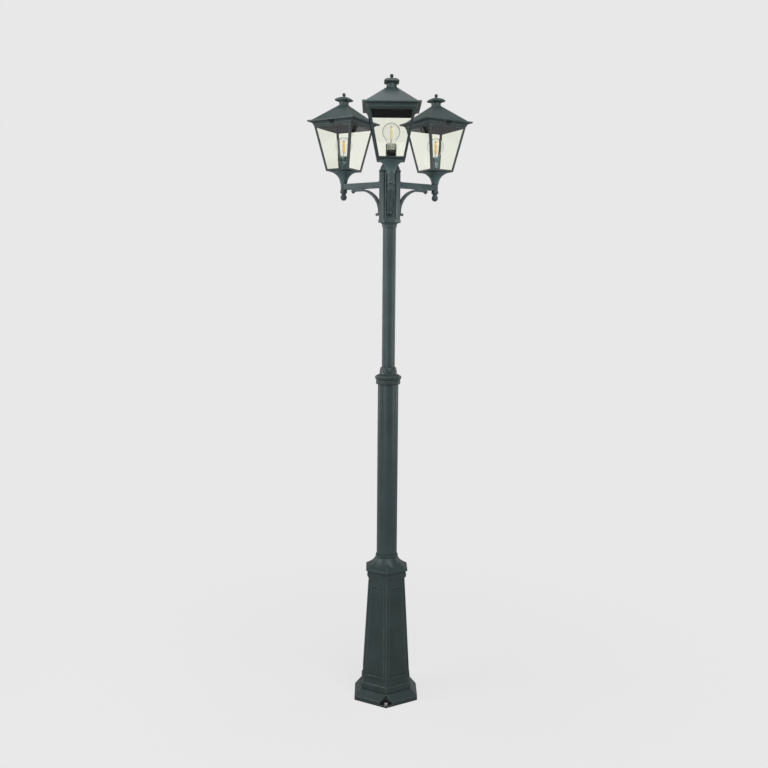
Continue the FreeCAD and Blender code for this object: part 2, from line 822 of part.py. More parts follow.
def cage(name, direction):
    """Tapered square frame: floor, four angle bars, two rails and the roof's ears."""
    body = start_body(f"cage_{name}")
    height = SIZE["cage_height"]
    floor = SIZE["cage_floor"]
    sheet = SIZE["cage_sheet"] * 2
    bar = SIZE["cage_bar"]
    loft(body, "AdditiveLoft", [
        (0, lambda sketch: square(sketch, SIZE["cage_foot_width"])),
        (height, lambda sketch: square(sketch, SIZE["cage_head_width"]))])
    loft(body, "SubtractiveLoft", [
        (floor, lambda sketch: square(sketch, cage_width_at(floor) - sheet)),
        (height, lambda sketch: square(sketch, SIZE["cage_head_width"] - sheet))])
    sill = SIZE["cage_foot_rail"]
    lintel = height - SIZE["cage_head_rail"]
    low = cage_width_at(sill) / 2 - bar
    high = cage_width_at(lintel) / 2 - bar
    window = sketch_on(body, "XZ_Plane")
    outline(window, [(-low, sill), (low, sill), (high, lintel), (-high, lintel)])
    window_cut = pocket(body, window, both_ways=True)
    pattern(body, [window_cut], 2, 90)
    roof_ears(body)
    cable = SIZE["bell_bore"] / 2
    solid(body, "SubtractiveCylinder", Radius=cable, Height=floor)
    put(body, CAGE_FOOT, SIZE["arm_reach"], direction)


def hinge_line():
    """Distance of the hinge pin from the lantern's middle, and its height on the cage."""
    away = SIZE["cage_head_width"] / 2 + SIZE["hinge_inset"]
    rise = SIZE["cage_height"] + SIZE["hinge_rise"]
    return away, rise


def roof_ears(body):
    """Two upright ears on each side rail: a pair for the hinge pin, a pair to locate the roof."""
    away, rise = hinge_line()
    radius = SIZE["hinge_ear_radius"]
    rail = SIZE["cage_head_width"] / 2
    inner = rail - SIZE["cage_sheet"]
    rail_foot = SIZE["cage_height"] - SIZE["cage_sheet"]
    near = SIZE["hinge_lug_width"] / 2 + SIZE["hinge_side_clearance"]
    thickness = SIZE["hinge_ear_thickness"]
    for side in (-1, 1):
        for offset in (near, -(near + thickness)):
            sketch = sketch_on(body, "YZ_Plane", offset)
            ear = [(inner * side, rail_foot),
                   (rail * side, rail_foot),
                   (rail * side, SIZE["cage_height"]),
                   (away * side, rise - radius, QUARTER_ROUND * side),
                   ((away + radius) * side, rise, QUARTER_ROUND * side),
                   (away * side, rise + radius),
                   (inner * side, rise + radius)]
            outline(sketch, ear)
            pad(body, sketch, thickness)
    holes = sketch_on(body, "YZ_Plane")
    circle(holes, -away, rise, SIZE["hinge_pin_diameter"])
    pocket(body, holes, (near + thickness) * 2, both_ways=True)


def pane(name, side, direction, turn):
    """One tapered glass pane, leaning against the inside of the cage."""
    body = start_body(f"pane_{side}_{name}")
    sheet = SIZE["cage_sheet"]
    thickness = SIZE["pane_thickness"]
    gap = SIZE["pane_clearance"]
    foot = SIZE["cage_floor"]
    head = SIZE["cage_height"]
    face_foot = cage_width_at(foot) / 2 - sheet
    face_head = cage_width_at(head) / 2 - sheet
    section = sketch_on(body, "XZ_Plane")
    outline(section, [(face_foot - thickness, foot), (face_foot, foot), (face_head, head),
                      (face_head - thickness, head)])
    pad(body, section, SIZE["cage_head_width"], both_ways=True)
    edge = thickness if side in ("inner", "outer") else 0
    low = face_foot - gap - edge
    high = face_head - gap - edge
    outside = SIZE["cage_head_width"] / 2
    for sign in (-1, 1):
        trim = sketch_on(body, "YZ_Plane")
        corners = [(low * sign, foot), (outside * sign, foot), (outside * sign, head), (high * sign, head)]
        outline(trim, corners)
        pocket(body, trim, both_ways=True)
    put(body, CAGE_FOOT, SIZE["arm_reach"], direction, turn)


def lamp_holder(name, direction):
    """Round lamp holder standing on the lantern's floor."""
    body = start_body(f"lamp_holder_{name}")
    outer = SIZE["holder_diameter"] / 2
    socket = SIZE["lamp_cap_diameter"] / 2 + SIZE["lamp_cap_clearance"]
    height = SIZE["holder_height"]
    rim = outer - socket
    revolve(body, [
        (0, 0),
        (outer, 0),
        (outer, height - rim / 2, QUARTER_ROUND),
        (outer - rim / 2, height),
        (socket, height),
        (socket, height - SIZE["holder_socket_depth"]),
        (0, height - SIZE["holder_socket_depth"])])
    put(body, CAGE_FOOT + SIZE["cage_floor"], SIZE["arm_reach"], direction)


def lamp(name, direction):
    """Globe lamp with its cap, standing in the holder's socket."""
    body = start_body(f"lamp_{name}")
    cap = SIZE["lamp_cap_diameter"] / 2
    neck = SIZE["lamp_neck_diameter"] / 2
    globe = SIZE["lamp_globe_diameter"] / 2
    cap_height = SIZE["holder_socket_depth"]
    middle = SIZE["lamp_globe_rise"]
    shoulder = SIZE["lamp_shoulder_diameter"] / 2
    revolve(body, [
        (0, 0),
        (SIZE["lamp_tip_diameter"] / 2, 0),
        (cap, SIZE["lamp_tip_height"]),
        (cap, cap_height),
        (neck, cap_height + SIZE["lamp_neck_foot"], -SHALLOW / 2),
        (shoulder, middle - ball_rise(globe, shoulder), ball_bow(globe, shoulder)),
        (globe, middle, QUARTER_ROUND),
        (0, middle + globe)])
    socket_floor = CAGE_FOOT + SIZE["cage_floor"] + SIZE["holder_height"] - cap_height
    put(body, socket_floor, SIZE["arm_reach"], direction)


# ---- opening roofs ----

def roof(name, direction):
    """Hollow roof with a moulded cornice, a thin eave, a vent neck and its hinge lug."""
    body = start_body(f"roof_{name}")
    fillet = SIZE["roof_fillet_height"]
    moulded_block(body, 4, [
        (SIZE["roof_foot_width"] / 2, 0),
        (SIZE["roof_fillet_width"] / 2, fillet, -QUARTER_ROUND),
        (SIZE["roof_cove_width"] / 2, FASCIA_FOOT),
        (SIZE["roof_cove_width"] / 2, EAVE_FOOT),
        (SIZE["roof_eave_width"] / 2, EAVE_FOOT),
        (SIZE["roof_eave_width"] / 2, SLOPE_FOOT),
        (SIZE["roof_slope_foot_width"] / 2, SLOPE_FOOT),
        (SIZE["roof_slope_head_width"] / 2, SLOPE_HEAD)])
    neck = SIZE["roof_neck_diameter"] / 2
    wall = SIZE["roof_neck_wall"]
    solid(body, "AdditiveCylinder", SLOPE_HEAD - SIZE["roof_neck_height"], Radius=neck,
          Height=SIZE["roof_neck_height"] * 2)
    roof_cavity(body)
    solid(body, "SubtractiveCylinder", SLOPE_FOOT + SIZE["roof_slope_height"] / 2, Radius=neck - wall,
          Height=SIZE["roof_slope_height"])
    hinge_slots(body)
    put(body, ROOF_FOOT, SIZE["arm_reach"], direction)


def roof_cavity(body):
    """Hollow that follows the roof: upright within the cornice, then parallel to the slopes."""
    width = SIZE["roof_cavity_width"]
    foot = SIZE["roof_slope_foot_width"]
    narrowing = (foot - SIZE["roof_slope_head_width"]) / SIZE["roof_slope_height"]
    bend = SLOPE_FOOT - SIZE["roof_sheet"] + (foot - width) / narrowing
    head_width = SIZE["roof_slope_head_width"]
    head = SLOPE_HEAD - SIZE["roof_sheet"]
    loft(body, "SubtractiveLoft", [
        (0, lambda sketch: square(sketch, width)),
        (bend, lambda sketch: square(sketch, width))])
    loft(body, "SubtractiveLoft", [
        (bend, lambda sketch: square(sketch, width)),
        (head, lambda sketch: square(sketch, head_width))])


def hinge_slots(body):
    """Pairs of open slots for the cage's ears, and bores in the lugs between them."""
    away, rise = hinge_line()
    up = rise - SIZE["cage_height"] - SIZE["roof_gap"]
    near = SIZE["hinge_lug_width"] / 2
    wide = SIZE["hinge_ear_thickness"] + SIZE["hinge_side_clearance"] * 2
    inner = SIZE["roof_cavity_width"] / 2 - SLOT_OVERLAP
    outer = SIZE["roof_eave_width"] / 2
    slots = sketch_on(body, "XY_Plane")
    for left in (near, -(near + wide)):
        rectangle(slots, left, left + wide, inner, outer)
        rectangle(slots, left, left + wide, -outer, -inner)
    pocket(body, slots, SIZE["hinge_slot_height"], upwards=True)
    bores = sketch_on(body, "YZ_Plane")
    running_bore = SIZE["hinge_pin_diameter"] + SIZE["hinge_running_clearance"] * 2
    circle(bores, -away, up, running_bore)
    pocket(body, bores, near * 2 + SIZE["hinge_side_clearance"], both_ways=True)
    screw = sketch_on(body, "XZ_Plane")
    circle(screw, 0, up, SIZE["catch_screw_diameter"])
    pocket(body, screw, SIZE["roof_eave_width"], upwards=False)


def hinge_pin(name, direction):
    """Pin through the cage's ears and the roof's lug."""
    body = start_body(f"hinge_pin_{name}")
    away, rise = hinge_line()
    near = SIZE["hinge_lug_width"] / 2 + SIZE["hinge_side_clearance"]
    sketch = sketch_on(body, "YZ_Plane")
    circle(sketch, -away, rise, SIZE["hinge_pin_diameter"])
    pad(body, sketch, (near + SIZE["hinge_ear_thickness"]) * 2, both_ways=True)
    put(body, CAGE_FOOT, SIZE["arm_reach"], direction)


def catch_screw(name, direction):
    """Clamp screw in the lug across from the hinge."""
    body = start_body(f"catch_screw_{name}")
    away, rise = hinge_line()
    up = rise - SIZE["cage_height"] - SIZE["roof_gap"]
    foot = SIZE["roof_cavity_width"] / 2
    sketch = sketch_on(body, "XZ_Plane", -foot)
    circle(sketch, 0, up, SIZE["catch_screw_diameter"])
    item = pad(body, sketch, SIZE["catch_screw_length"])
    item.Reversed = True
    put(body, ROOF_FOOT, SIZE["arm_reach"], direction)


def vent_cap(name, direction):
    """Square domed cap on the roof's vent neck."""
    body = start_body(f"vent_cap_{name}")
    half = SIZE["vent_cap_width"] / 2
    bevel = SIZE["vent_cap_bevel"]
    lip = bevel + SIZE["vent_cap_lip"]
    moulded_block(body, 4, [
        (SIZE["vent_cap_foot_width"] / 2, 0),
        (half, bevel),
        (half, lip, SHALLOW),
        (SIZE["vent_cap_crown_width"] / 2, VENT_CAP_HEIGHT)])
    bore = SIZE["roof_neck_diameter"] / 2 - SIZE["roof_neck_wall"]
    spigot = SIZE["vent_cap_spigot"]
    solid(body, "AdditiveCylinder", -spigot, Radius=bore - SIZE["vent_cap_spigot_clearance"],
          Height=spigot + bevel)
    stud = SIZE["finial_stud_length"]
    solid(body, "SubtractiveCylinder", VENT_CAP_HEIGHT - stud,
          Radius=SIZE["finial_stud_diameter"] / 2, Height=stud)
    put(body, VENT_CAP_FOOT, SIZE["arm_reach"], direction)


def ball_finial(name, direction):
    """Ball on a short coved neck, with a stud into the vent cap."""
    body = start_body(f"ball_finial_{name}")
    ball = SIZE["finial_ball_diameter"] / 2
    neck = SIZE["finial_neck_diameter"] / 2
    stud = SIZE["finial_stud_diameter"] / 2
    neck_head = SIZE["finial_neck_height"]
    middle = neck_head + ball_rise(ball, neck)
    revolve(body, [
        (0, -SIZE["finial_stud_length"]),
        (stud, -SIZE["finial_stud_length"]),
        (stud, 0),
        (SIZE["finial_foot_width"] / 2, 0, -SHALLOW),
        (neck, neck_head, ball_bow(ball, neck)),
        (ball, middle, QUARTER_ROUND),
        (0, middle + ball)])
    put(body, FINIAL_FOOT, SIZE["arm_reach"], direction)


def build():
    base_plinth()
    base_pedestal()
    base_cap()
    shaft("lower_shaft", SIZE["lower_shaft_diameter"], SIZE["lower_shaft_wall"],
          CAP_HEAD - SIZE["lower_shaft_socket"], COLLAR_FOOT + SIZE["collar_socket_depth"])
    shaft_collar()
    shaft("upper_shaft", SIZE["upper_shaft_diameter"], SIZE["upper_shaft_wall"],
          COLLAR_FOOT + COLLAR_HEIGHT - SIZE["collar_neck_height"],
          HEAD_FOOT + SIZE["head_socket_depth"])
    head_block()
    head_cap()
    for name, direction in ARM_DIRECTIONS.items():
        arm(name, direction)
        bracket(name, direction)
        drop_finial(name, direction)
        bell(name, direction)
        cage(name, direction)
        for side, turn in (("outer", 0), ("left", 90), ("inner", 180), ("right", 270)):
            pane(name, side, direction, turn)
        lamp_holder(name, direction)
        lamp(name, direction)
        hinge_pin(name, direction)
        roof(name, direction)
        catch_screw(name, direction)
        vent_cap(name, direction)
        ball_finial(name, direction)


CUTS = ("Pocket", "SubtractiveLoft", "SubtractiveCone", "SubtractiveCylinder")


def check():
    """Stop if anything failed, is empty, or if a cut removed nothing."""
    for item in doc.Objects:
        if "Invalid" in item.State or "Error" in item.State:
            raise RuntimeError(f"{item.Name} failed: {item.State}")
        if item.TypeId.split("::")[-1] in CUTS:
            before = item.BaseFeature.Shape.Volume
            if before - item.Shape.Volume < 1e-3:
                raise RuntimeError(f"{item.Name} cuts nothing")
    for body in nodes:
        shape = body.Shape
        if shape.isNull() or not shape.isValid():
            raise RuntimeError(f"{body.Label} has no valid shape")
        if len(shape.Solids) != 1:
            raise RuntimeError(f"{body.Label} has {len(shape.Solids)} solids")


def write():
    os.makedirs("parts", exist_ok=True)
    for body in nodes:
        body.Shape.exportStep(f"parts/{body.Label}.step")
    print(len(nodes), "pieces written")


build()
doc.recompute()
check()
write()
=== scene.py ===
import math
import bmesh
import bpy
from mathutils import Matrix, Vector


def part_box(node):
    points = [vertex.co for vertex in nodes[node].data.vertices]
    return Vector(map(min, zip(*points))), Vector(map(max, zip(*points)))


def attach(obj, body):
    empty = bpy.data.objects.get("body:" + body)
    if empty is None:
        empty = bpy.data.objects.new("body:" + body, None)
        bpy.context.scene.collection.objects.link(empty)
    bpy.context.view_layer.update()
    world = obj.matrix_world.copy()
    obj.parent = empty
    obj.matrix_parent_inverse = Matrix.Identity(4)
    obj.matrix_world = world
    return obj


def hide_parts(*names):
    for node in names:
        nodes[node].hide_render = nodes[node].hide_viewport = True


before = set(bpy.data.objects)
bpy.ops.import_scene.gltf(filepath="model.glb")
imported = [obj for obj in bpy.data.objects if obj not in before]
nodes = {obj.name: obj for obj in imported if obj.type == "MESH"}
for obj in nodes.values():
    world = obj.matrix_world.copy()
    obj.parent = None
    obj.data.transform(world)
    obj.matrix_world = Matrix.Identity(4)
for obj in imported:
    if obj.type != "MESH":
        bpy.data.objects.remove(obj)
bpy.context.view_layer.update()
print("frame loaded:", len(nodes), "pieces")

arms = {"front": -90, "left": 150, "right": 30}  # direction of each arm, degrees from +X


def mm(value):
    return value / 1000


def srgb(code, alpha=1.0):
    # sRGB hex to the linear colour that Blender works in
    parts = [int(code[i:i + 2], 16) / 255 for i in (1, 3, 5)]
    linear = [p / 12.92 if p <= 0.04045 else ((p + 0.055) / 1.055) ** 2.4 for p in parts]
    return (*linear, alpha)


def addNode(tree, kind, settings=None, **links):
    # one node with its settings; links name an input, or number it as in i2, and what feeds it
    node = tree.nodes.new("ShaderNode" + kind)
    for name, value in (settings or {}).items():
        setattr(node, name, value)
    for name, value in links.items():
        key = int(name[1:]) if name[0] == "i" and name[1:].isdigit() else name.replace("_", " ")
        if isinstance(value, bpy.types.NodeSocket):
            tree.links.new(value, node.inputs[key])
        else:
            node.inputs[key].default_value = value
    return node


def maths(tree, operation, first, second):
    return addNode(tree, "Math", {"operation": operation}, i0=first, i1=second).outputs[0]


def dotProduct(tree, first, second):
    return addNode(tree, "VectorMath", {"operation": "DOT_PRODUCT"}, i0=first, i1=second).outputs["Value"]


def mapped(tree, value, source, target=(0.0, 1.0), curve="LINEAR"):
    # carries the source range over to the target range and stops at its ends
    return addNode(tree, "MapRange", {"interpolation_type": curve}, Value=value, From_Min=source[0],
                   From_Max=source[1], To_Min=target[0], To_Max=target[1]).outputs["Result"]


def blended(tree, share, colour, other):
    return addNode(tree, "Mix", {"data_type": "RGBA"}, i0=share, i6=colour, i7=other).outputs[2]


def noise(tree, place, size, detail):
    # cloudy noise with features of about the given size in mm
    return addNode(tree, "TexNoise", Vector=place, Scale=1 / mm(size), Detail=detail).outputs["Fac"]


def bumped(tree, height, strength, lift, **under):
    # lift is in mm; under can give the normal that the bumps are laid on
    bump = addNode(tree, "Bump", Height=height, Strength=strength, Distance=mm(lift), **under)
    return bump.outputs["Normal"]


def ramp(tree, factor, stops):
    # stops are (place, hex colour) pairs
    node = addNode(tree, "ValToRGB", Fac=factor)
    elements = node.color_ramp.elements
    while len(elements) < len(stops):
        elements.new(0.5)
    for element, (place, code) in zip(elements, stops):
        element.position = place
        element.color = srgb(code)
    return node.outputs["Color"]


def newMaterial(name):
    material = bpy.data.materials.new(name)
    material.use_nodes = True
    material.node_tree.nodes.clear()
    return material, material.node_tree


noiseSpan = (0.3, 0.7)  # nearly all of a noise's values lie between these

castPaint = {
    "dark": "#273535", "mid": "#2f3f3f", "light": "#384a4a", "nookShade": "#081011", "edge": "#8c9c9c",
    "drift": 90,        # mm, slow change of tone over a casting
    "grain": 2.2,       # mm, sand-cast grain that still shows through the powder coat
    "peel": 0.9,        # mm, orange peel of the powder coat
    "shadeReach": 9,     # mm, how far the painted shade reaches out of a corner
    "edgeWide": 3.0,    # mm, width of the painted highlight along the edges
    "roughness": 0.38, "grainHeight": 0.10, "peelHeight": 0.03,
}

headPaintLit = {  # a paler copy of the cast coat, painted light up at the lanterns, with painted shade reaching deep into the grooves
    **castPaint, "dark": "#2d3f41", "mid": "#36494c", "light": "#40565a", "shadeReach": 16,
}

bellPaintLit = {  # a paler copy of the cast coat: painted light on the smooth trumpets under the lanterns
    **castPaint, "dark": "#384c4e", "mid": "#43595b", "light": "#4e6669",
}

tubePaint = {
    "dark": "#303e41", "mid": "#364649", "light": "#3d4f52", "nookShade": "#0a1314", "edge": "#64787a",
    "drift": 160, "grain": 3.0, "peel": 0.8, "shadeReach": 8, "edgeWide": 1.2,
    "roughness": 0.36, "grainHeight": 0.03, "peelHeight": 0.03,
}

sheetPaint = {
    "dark": "#303e3e", "mid": "#3a4a4a", "light": "#455656", "nookShade": "#060e10", "edge": "#788a8c",
    "drift": 120, "grain": 4.0, "peel": 0.8, "shadeReach": 12, "edgeWide": 1.8,
    "roughness": 0.38, "grainHeight": 0.04, "peelHeight": 0.03,
}

cagePaintShaded = {  # a darker copy of the sheet coat, painted shade, so the thin bars read near black against the panes
    **sheetPaint, "dark": "#202b2c", "mid": "#273434", "light": "#2f3e3e", "edge": "#5c6c6e",
}

coating = {
    "grainShare": 0.35,                 # of the tone; the rest is the slow drift
    "tones": (0.36, 0.5, 0.64),         # noise at which the dark, middle and light tones stand
    "edgeLean": (0.985, 0.85),          # cosine of the lean of an edge, from no painted highlight to the fullest
    "edgeShare": 0.85,                  # how much of the edge's colour the painted highlight shows at its fullest
    "shadeOpen": (0.45, 0.93),           # share of a corner that is open, from full painted shade to none
    "smoother": 0.05, "rougher": 0.06,  # spread of the roughness with the grain
    "grainLift": 0.6, "peelLift": 0.2,  # mm
    "shine": 0.45,
}


def powderCoat(name, look):
    # anthracite powder coat, baked on: satin, with fine orange peel, painted shade in the corners and a
    # painted highlight along the edges
    material, tree = newMaterial(name)
    place = addNode(tree, "TexCoord").outputs["Object"]
    drift = noise(tree, place, look["drift"], 3.0)
    grain = noise(tree, place, look["grain"], 4.0)
    peel = addNode(tree, "TexVoronoi", {"feature": "SMOOTH_F1"}, Vector=place, Scale=1 / mm(look["peel"]))
    tone = addNode(tree, "Mix", {"data_type": "FLOAT"}, i0=coating["grainShare"], i2=drift, i3=grain)
    shades = (look["dark"], look["mid"], look["light"])
    coat = ramp(tree, tone.outputs[0], list(zip(coating["tones"], shades)))
    # painted highlight: a paler colour where the rounded normal leans away from the true one, along the edges
    edge = addNode(tree, "Bevel", {"samples": 4}, Radius=mm(look["edgeWide"])).outputs["Normal"]
    lean = dotProduct(tree, edge, addNode(tree, "NewGeometry").outputs["Normal"])
    edgeHighlight = mapped(tree, lean, coating["edgeLean"], (0.0, coating["edgeShare"]))
    # painted shade: corners and grooves are darkened by how closed in they are
    nookShade = addNode(tree, "AmbientOcclusion", {"samples": 6}, Distance=mm(look["shadeReach"])).outputs["AO"]
    clear = mapped(tree, nookShade, coating["shadeOpen"])
    colour = blended(tree, clear, srgb(look["nookShade"]), blended(tree, edgeHighlight, coat, srgb(look["edge"])))
    rough = mapped(tree, grain, noiseSpan, (look["roughness"] - coating["smoother"],
                                            look["roughness"] + coating["rougher"]))
    coarse = bumped(tree, grain, look["grainHeight"], coating["grainLift"], Normal=edge)
    fine = bumped(tree, peel.outputs["Distance"], look["peelHeight"], coating["peelLift"], Normal=coarse)
    shader = addNode(tree, "BsdfPrincipled", Base_Color=colour, Roughness=rough,
                     Specular_IOR_Level=coating["shine"], Normal=fine)
    addNode(tree, "OutputMaterial", Surface=shader.outputs[0])
    return material


def clearGlass(name, look):
    # clear smooth glass; its slight body colour gathers in the thickness of the edges
    material, tree = newMaterial(name)
    shader = addNode(tree, "BsdfPrincipled", Base_Color=srgb(look["tint"]), Roughness=0.0, IOR=look["ior"],
                     Transmission_Weight=1.0)
    if "waves" in look:
        swell = noise(tree, addNode(tree, "TexCoord").outputs["Object"], look["waves"], 1.0)
        tree.links.new(bumped(tree, swell, look["waveHeight"], 1), shader.inputs["Normal"])
    addNode(tree, "OutputMaterial", Surface=shader.outputs[0])
    return material


def metal(name, look):
    # bare metal: brushed or stamped, with small scratches across its tone and gloss
    material, tree = newMaterial(name)
    place = addNode(tree, "TexCoord").outputs["Object"]
    stretch = addNode(tree, "Mapping", Vector=place, Scale=(1, 1, look.get("stretch", 1))).outputs["Vector"]
    scratch = noise(tree, stretch, look["grain"], 5.0)
    colour = ramp(tree, scratch, list(zip(noiseSpan, (look["dark"], look["light"]))))
    rough = mapped(tree, scratch, noiseSpan, (look["roughness"] - 0.06, look["roughness"] + 0.08))
    shader = addNode(tree, "BsdfPrincipled", Base_Color=colour, Metallic=1.0, Roughness=rough,
                     Normal=bumped(tree, scratch, 0.08, 0.2))
    addNode(tree, "OutputMaterial", Surface=shader.outputs[0])
    return material


def moulding(name, look):
    # moulded thermoset or porcelain: dense, smooth, a little uneven in tone and surface
    material, tree = newMaterial(name)
    mottle = noise(tree, addNode(tree, "TexCoord").outputs["Object"], look["grain"], 4.0)
    colour = ramp(tree, mottle, [(0.35, look["dark"]), (0.65, look["light"])])
    shader = addNode(tree, "BsdfPrincipled", Base_Color=colour, Roughness=look["roughness"],
                     Normal=bumped(tree, mottle, 0.05, 0.2),
                     Emission_Color=srgb(look.get("glowColour", "#ffffff")),
                     Emission_Strength=look.get("glow", 0.0))
    addNode(tree, "OutputMaterial", Surface=shader.outputs[0])
    return material


castCoat = powderCoat("powder_coated_cast_aluminium", castPaint)  # dark grey-green with a painted highlight along the edges
headCoatLit = powderCoat("powder_coated_head_castings_painted_lit", headPaintLit)  # greyer, a paler copy of the cast coat as painted light, so block and arms stand out
bellCoatLit = powderCoat("powder_coated_cast_trumpet_painted_lit", bellPaintLit)
tubeCoat = powderCoat("powder_coated_steel_tube", tubePaint)  # the smoothest coat, its tone changes slowly
sheetCoat = powderCoat("powder_coated_pressed_sheet", sheetPaint)  # broad grey slopes with soft folds
cageCoatShaded = powderCoat("powder_coated_bent_angle_painted_shade", cagePaintShaded)
floatGlass = clearGlass("float_glass_pane", {  # faintly warm panes that mirror a little wavily
    "tint": "#fefff8", "ior": 1.3, "waves": 60, "waveHeight": 0.06})
blownGlass = clearGlass("blown_glass_bulb", {"tint": "#ffffff", "ior": 1.28})  # seen by its outline only
zincSteel = metal("zinc_plated_steel", {  # cold pale glint at the screw heads
    "dark": "#a9abaa", "light": "#d4d5d3", "grain": 0.8, "roughness": 0.32})
brightCap = metal("nickel_plated_lamp_cap", {  # warm silver thread below the globe
    "dark": "#b5b3a4", "light": "#dddccd", "grain": 1.5, "roughness": 0.24})
blackSteel = metal("blackened_steel_pin", {  # lost in the shade of the slots
    "dark": "#17191a", "light": "#2b2e2f", "grain": 1.0, "roughness": 0.5})
sleeveMetal = metal("satin_aluminium_sleeve", {  # blue-grey sheen with fine upright lines
    "dark": "#6d8a8d", "light": "#84a2a4", "grain": 2.0, "roughness": 0.5, "stretch": 0.15})
holderBody = moulding("black_phenolic_moulding", {  # a black core in the sleeve's window
    "dark": "#0d1416", "light": "#182123", "grain": 3.0, "roughness": 0.5})
porcelain = moulding("glazed_porcelain_ring", {  # the pale band under the lamp
    "dark": "#eef1e2", "light": "#fbfdf2", "grain": 4.0, "roughness": 0.3})
phosphor = moulding("yellow_phosphor_coating", {  # bright yellow sticks in the middle of the globe, with a faint painted glow that stands in for their highlight
    "dark": "#e8b010", "light": "#ffdc3c", "grain": 1.5, "roughness": 0.55,
    "glow": 0.45, "glowColour": "#ffd24a"})
print("materials made")


def paint(names, material):
    for name in names:
        mesh = nodes[name].data
        mesh.materials.clear()
        mesh.materials.append(material)


def eachArm(*stems):
    return [f"{stem}_{arm}" for stem in stems for arm in arms]


paint(["base_plinth", "base_pedestal", "base_cap", "shaft_collar"] + eachArm("ball_finial"), castCoat)
paint(["head_block", "head_cap"] + eachArm("arm", "bracket", "drop_finial"), headCoatLit)
paint(eachArm("bell"), bellCoatLit)
paint(["lower_shaft", "upper_shaft"], tubeCoat)
paint(eachArm("cage"), cageCoatShaded)
paint(eachArm("roof", "vent_cap"), sheetCoat)
paint(eachArm("pane_outer", "pane_left", "pane_inner", "pane_right"), floatGlass)
paint(eachArm("hinge_pin", "catch_screw"), blackSteel)
paint(eachArm("lamp_holder"), sleeveMetal)
paint(eachArm("lamp"), blownGlass)
print("finishes given to the carried-over pieces")


def newPiece(name, mesh, material):
    piece = bpy.data.objects.new(name, mesh)
    bpy.context.scene.collection.objects.link(piece)
    mesh.materials.append(material)
    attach(piece, "post")
    return piece


def meshFrom(work, name):
    mesh = bpy.data.meshes.new(name)
    work.to_mesh(mesh)
    work.free()
    return mesh


onAxis = 1e-6  # a smaller radius closes the shape with a single point


def turned(profile, steps):
    # a mesh of revolution about Z from (radius, height) points in mm
    work = bmesh.new()
    rows = []
    for radius, height in profile:
        turns = [2 * math.pi * i / steps for i in range(steps)] if radius > onAxis else [0]
        rows.append([work.verts.new((mm(radius) * math.cos(turn), mm(radius) * math.sin(turn), mm(height)))
                     for turn in turns])
    for low, high in zip(rows, rows[1:]):
        for i in range(steps):
            j = (i + 1) % steps
            corners = [low[0]] if len(low) == 1 else [low[i], low[j]]
            corners += [high[0]] if len(high) == 1 else [high[j], high[i]]
            if len(corners) > 2:
                work.faces.new(corners).smooth = True
    return meshFrom(work, "turned")


def joined(name, parts):
    work = bmesh.new()
    for part in parts:
        work.from_mesh(part)
        bpy.data.meshes.remove(part)
    return meshFrom(work, name)


def turnedOutwards(direction):
    # rotation that lays the Z axis along a direction
    return direction.to_track_quat("Z", "Y").to_matrix().to_4x4()


rodDome = ((1, 0), (0.7, 0.5), (0, 0.8))  # radius and height of a domed end, in radii of the rod


def rod(start, end, radius, steps=10):
    # round rod between two points in mm, with domed ends
    axis = end - start
    foot = [(out * radius, -up * radius) for out, up in reversed(rodDome)]
    head = [(out * radius, axis.length + up * radius) for out, up in rodDome]
    mesh = turned(foot + head, steps)
    mesh.transform(Matrix.Translation(mm(start)) @ turnedOutwards(axis))
    return mesh


def upright(height):
    # a vector of that height
    return Vector((0, 0, height))


def sideways(angle):
    # a level vector of length 1, turned from +X by an angle in radians
    return Vector((math.cos(angle), math.sin(angle), 0))


def atLantern(arm, mesh):
    # from a lantern's own axes, +X outwards, to its place on the post
    low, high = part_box(f"lamp_{arm}")
    spot = Vector(((low.x + high.x) / 2, (low.y + high.y) / 2, low.z))
    mesh.transform(Matrix.Translation(spot) @ Matrix.Rotation(math.radians(arms[arm]), 4, "Z"))
    return mesh


lamp = {  # mm above the socket's floor; outlines are (radius, height) points
    "globe": 60, "wall": 0.5, "middle": 70, "neck": 27, "neckFoot": 28.5, "shoulder": 48,
    "neckSteps": 8, "neckEase": 1.55, "globeSteps": 22,
    "contact": ((0, 0), (4.5, 0.2), (5.7, 1.6), (10, 3.6), (11.6, 5.3)),
    "threadFoot": 5.3, "threadPitch": 3.6, "threadTurns": 4,
    "thread": ((12.1, 0.4), (13, 1.2), (13.2, 1.8), (13, 2.4), (12.1, 3.2)),  # heights from each turn's foot
    "rim": ((12.3, 22.5), (13.4, 27.5), (13.9, 29.9), (13.5, 30.5), (12.6, 30.3), (12.3, 27.5), (0, 27.5)),
    "stem": ((0, 27.5), (8.32, 27.5), (6.76, 29), (4.16, 32.5), (2.52, 36), (2.1, 41), (2.73, 43),
             (3.15, 44.5), (2.52, 46), (0, 46.6)),
    "sticks": 4, "stickThick": 2.4, "stickFoot": 46, "stickHead": 88,
    "stickSpreadFoot": 3.6, "stickSpreadHead": 2.6,
    "wire": 0.5, "wireFoot": 34, "wireHead": 91, "wireSides": 6,
}


def bulbProfile(inset):
    # outline of the envelope, or of its inner face when inset by the wall
    radius = lamp["globe"] / 2 - inset
    shoulder = lamp["shoulder"] / lamp["globe"] * radius
    drop = math.sqrt(radius ** 2 - shoulder ** 2)
    neck = lamp["neck"] / 2 - inset
    rise = lamp["middle"] - drop - lamp["neckFoot"]
    points = []
    for i in range(lamp["neckSteps"]):
        share = i / lamp["neckSteps"]
        points.append((neck + (shoulder - neck) * share ** lamp["neckEase"], lamp["neckFoot"] + rise * share))
    start = -math.asin(drop / radius)
    for i in range(lamp["globeSteps"] + 1):
        angle = start + (math.pi / 2 - start) * i / lamp["globeSteps"]
        points.append((radius * math.cos(angle), lamp["middle"] + radius * math.sin(angle)))
    return points


